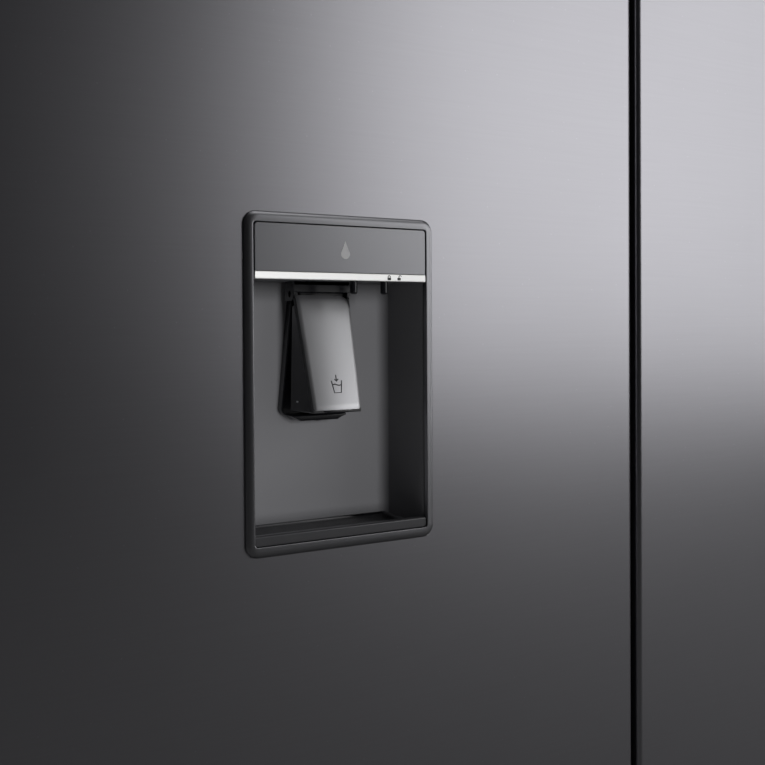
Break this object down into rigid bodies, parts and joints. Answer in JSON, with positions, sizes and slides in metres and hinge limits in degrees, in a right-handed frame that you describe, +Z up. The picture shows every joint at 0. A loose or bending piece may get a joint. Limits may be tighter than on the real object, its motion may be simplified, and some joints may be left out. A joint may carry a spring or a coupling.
{
  "type": "french door refrigerator",
  "caption": "French door refrigerator with a bottom freezer drawer, dark steel fronts, pocket grips and a water dispenser recessed in the left door.",
  "frame": {"origin": "on the floor, at the middle of the bounding box", "axes": "+Z up, the doors face -Y, +X to the right when facing the doors"},
  "size_m": [0.908, 0.7152, 1.782],
  "materials": {
    "dark_steel": "satin dark steel",
    "case_paint": "satin textured paint",
    "zinc_sheet": "galvanised sheet",
    "foam": "rigid foam",
    "liner_white": "smooth moulded liner",
    "seal_rubber": "flexible seal",
    "gloss_black": "polished black",
    "dispenser_grey": "satin painted plastic",
    "paddle_paint": "pearl painted plastic",
    "bright_strip": "bright brushed trim",
    "clear_plastic": "clear moulded",
    "shelf_glass": "tempered",
    "black_plastic": "fine moulded grain",
    "cap_plastic": "moulded dark grey",
    "hinge_steel": "zinc plated",
    "black_enamel": "black enamel",
    "copper": "drawn tube",
    "aluminium_fins": "thin fins"
  },
  "bodies": {
    "cabinet": {"cabinet_shell": "case_paint", "rear_panel": "zinc_sheet", "cabinet_insulation": "foam", "fridge_liner": "liner_white", "freezer_liner": "liner_white", "air_duct": "liner_white", "crisper_cover": "shelf_glass", "base_frame": "zinc_sheet", "kick_grille": "black_plastic", "machine_cover": "zinc_sheet", "front_feet": "black_plastic", "top_hinges": "hinge_steel", "hinge_covers": "black_plastic", "mid_hinges": "hinge_steel", "compressor": "black_enamel", "condenser_coil": "copper", "drain_pan": "black_plastic", "evaporator": "aluminium_fins", "evaporator_cover": "liner_white"},
    "condenser_fan": {"condenser_fan": "black_plastic"},
    "evaporator_fan": {"evaporator_fan": "black_plastic"},
    "rear_roller_left": {"rear_roller_left": "black_plastic"},
    "rear_roller_right": {"rear_roller_right": "black_plastic"},
    "shelf_upper": {"shelf_upper": "shelf_glass"},
    "shelf_middle": {"shelf_middle": "shelf_glass"},
    "crisper_left": {"crisper_left": "clear_plastic"},
    "crisper_right": {"crisper_right": "clear_plastic"},
    "left_door": {"left_door_skin": "dark_steel", "left_door_core": "liner_white", "left_door_caps": "cap_plastic", "left_door_seal": "seal_rubber", "dispenser_bezel": "dispenser_grey", "dispenser_recess": "dispenser_grey", "dispenser_fascia": "dispenser_grey", "dispenser_trim_strip": "bright_strip", "dispenser_hood": "gloss_black", "paddle_spring": "hinge_steel"},
    "left_bin_upper": {"left_bin_upper": "clear_plastic"},
    "left_bin_lower": {"left_bin_lower": "clear_plastic"},
    "flip_mullion": {"flip_mullion": "cap_plastic"},
    "water_tank": {"water_tank": "clear_plastic"},
    "tank_cap": {"tank_cap": "liner_white"},
    "paddle": {"paddle_plate": "paddle_paint", "paddle_body": "gloss_black"},
    "lock_slider": {"lock_slider": "gloss_black"},
    "drip_tray": {"drip_tray": "dispenser_grey"},
    "right_door": {"right_door_skin": "dark_steel", "right_door_core": "liner_white", "right_door_caps": "cap_plastic", "right_door_seal": "seal_rubber"},
    "right_bin_upper": {"right_bin_upper": "clear_plastic"},
    "right_bin_middle": {"right_bin_middle": "clear_plastic"},
    "right_bin_lower": {"right_bin_lower": "clear_plastic"},
    "freezer_drawer": {"drawer_skin": "dark_steel", "drawer_core": "cap_plastic", "drawer_seal": "seal_rubber", "drawer_slides": "hinge_steel", "drawer_basket": "clear_plastic"},
    "slide_middle": {"slide_middle": "hinge_steel"},
    "freezer_tray": {"freezer_tray": "clear_plastic"}
  },
  "joints": [
    {"name": "left_door_hinge", "type": "hinge", "parent": "cabinet", "child": "left_door", "pos_m": [-0.438, -0.31438, 1.75], "axis": [0, 0, -1], "range_deg": [0, 120]},
    {"name": "right_door_hinge", "type": "hinge", "parent": "cabinet", "child": "right_door", "pos_m": [0.438, -0.31438, 1.75], "axis": [0, 0, 1], "range_deg": [0, 120]},
    {"name": "freezer_drawer_slide", "type": "slide", "parent": "cabinet", "child": "freezer_drawer", "axis": [0, -1, 0], "range_m": [0, 0.4]},
    {"name": "slide_middle_travel", "type": "slide", "parent": "cabinet", "child": "slide_middle", "axis": [0, -1, 0], "range_m": [0, 0.2]},
    {"name": "freezer_tray_slide", "type": "slide", "parent": "freezer_drawer", "child": "freezer_tray", "axis": [0, 1, 0], "range_m": [0, 0.1]},
    {"name": "shelf_upper_slide", "type": "slide", "parent": "cabinet", "child": "shelf_upper", "axis": [0, -1, 0], "range_m": [0, 0.035]},
    {"name": "shelf_middle_slide", "type": "slide", "parent": "cabinet", "child": "shelf_middle", "axis": [0, -1, 0], "range_m": [0, 0.035]},
    {"name": "crisper_left_slide", "type": "slide", "parent": "cabinet", "child": "crisper_left", "axis": [0, -1, 0], "range_m": [0, 0.035]},
    {"name": "crisper_right_slide", "type": "slide", "parent": "cabinet", "child": "crisper_right", "axis": [0, -1, 0], "range_m": [0, 0.035]},
    {"name": "left_bin_upper_lift", "type": "slide", "parent": "left_door", "child": "left_bin_upper", "axis": [0, 0, 1], "range_m": [0, 0.05]},
    {"name": "left_bin_lower_lift", "type": "slide", "parent": "left_door", "child": "left_bin_lower", "axis": [0, 0, 1], "range_m": [0, 0.05]},
    {"name": "right_bin_upper_lift", "type": "slide", "parent": "right_door", "child": "right_bin_upper", "axis": [0, 0, 1], "range_m": [0, 0.05]},
    {"name": "right_bin_middle_lift", "type": "slide", "parent": "right_door", "child": "right_bin_middle", "axis": [0, 0, 1], "range_m": [0, 0.05]},
    {"name": "right_bin_lower_lift", "type": "slide", "parent": "right_door", "child": "right_bin_lower", "axis": [0, 0, 1], "range_m": [0, 0.05]},
    {"name": "flip_mullion_hinge", "type": "hinge", "parent": "left_door", "child": "flip_mullion", "pos_m": [-0.036, -0.24457, 1.66], "axis": [0, 0, -1], "range_deg": [0, 90]},
    {"name": "water_tank_lift", "type": "slide", "parent": "left_door", "child": "water_tank", "axis": [0, 0, 1], "range_m": [0, 0.05]},
    {"name": "tank_cap_hinge", "type": "hinge", "parent": "water_tank", "child": "tank_cap", "pos_m": [-0.2195, -0.24938, 1.2243], "axis": [1, 0, 0], "range_deg": [0, 95]},
    {"name": "paddle_hinge", "type": "hinge", "parent": "left_door", "child": "paddle", "pos_m": [-0.24345, -0.31438, 1.1705], "axis": [1, 0, 0], "range_deg": [0, 7], "stiffness_Nm_per_rad": 1.5, "springref_deg": -2.86},
    {"name": "lock_slider_travel", "type": "slide", "parent": "left_door", "child": "lock_slider", "axis": [1, 0, 0], "range_m": [0, 0.0073]},
    {"name": "drip_tray_lift", "type": "slide", "parent": "left_door", "child": "drip_tray", "axis": [0, 0, 1], "range_m": [0, 0.04]},
    {"name": "condenser_fan_spin", "type": "hinge", "parent": "cabinet", "child": "condenser_fan", "pos_m": [-0.06, 0.25012, 0.165], "axis": [1, 0, 0], "continuous": true},
    {"name": "evaporator_fan_spin", "type": "hinge", "parent": "cabinet", "child": "evaporator_fan", "pos_m": [0, 0.25562, 0.5525], "axis": [0, 1, 0], "continuous": true},
    {"name": "rear_roller_left_spin", "type": "hinge", "parent": "cabinet", "child": "rear_roller_left", "pos_m": [-0.4, 0.30262, 0.022], "axis": [1, 0, 0], "continuous": true},
    {"name": "rear_roller_right_spin", "type": "hinge", "parent": "cabinet", "child": "rear_roller_right", "pos_m": [0.4, 0.30262, 0.022], "axis": [1, 0, 0], "continuous": true}
  ],
  "couplings": [
    {"joint": "slide_middle_travel", "follows": "freezer_drawer_slide", "ratio": 0.5}
  ]
}
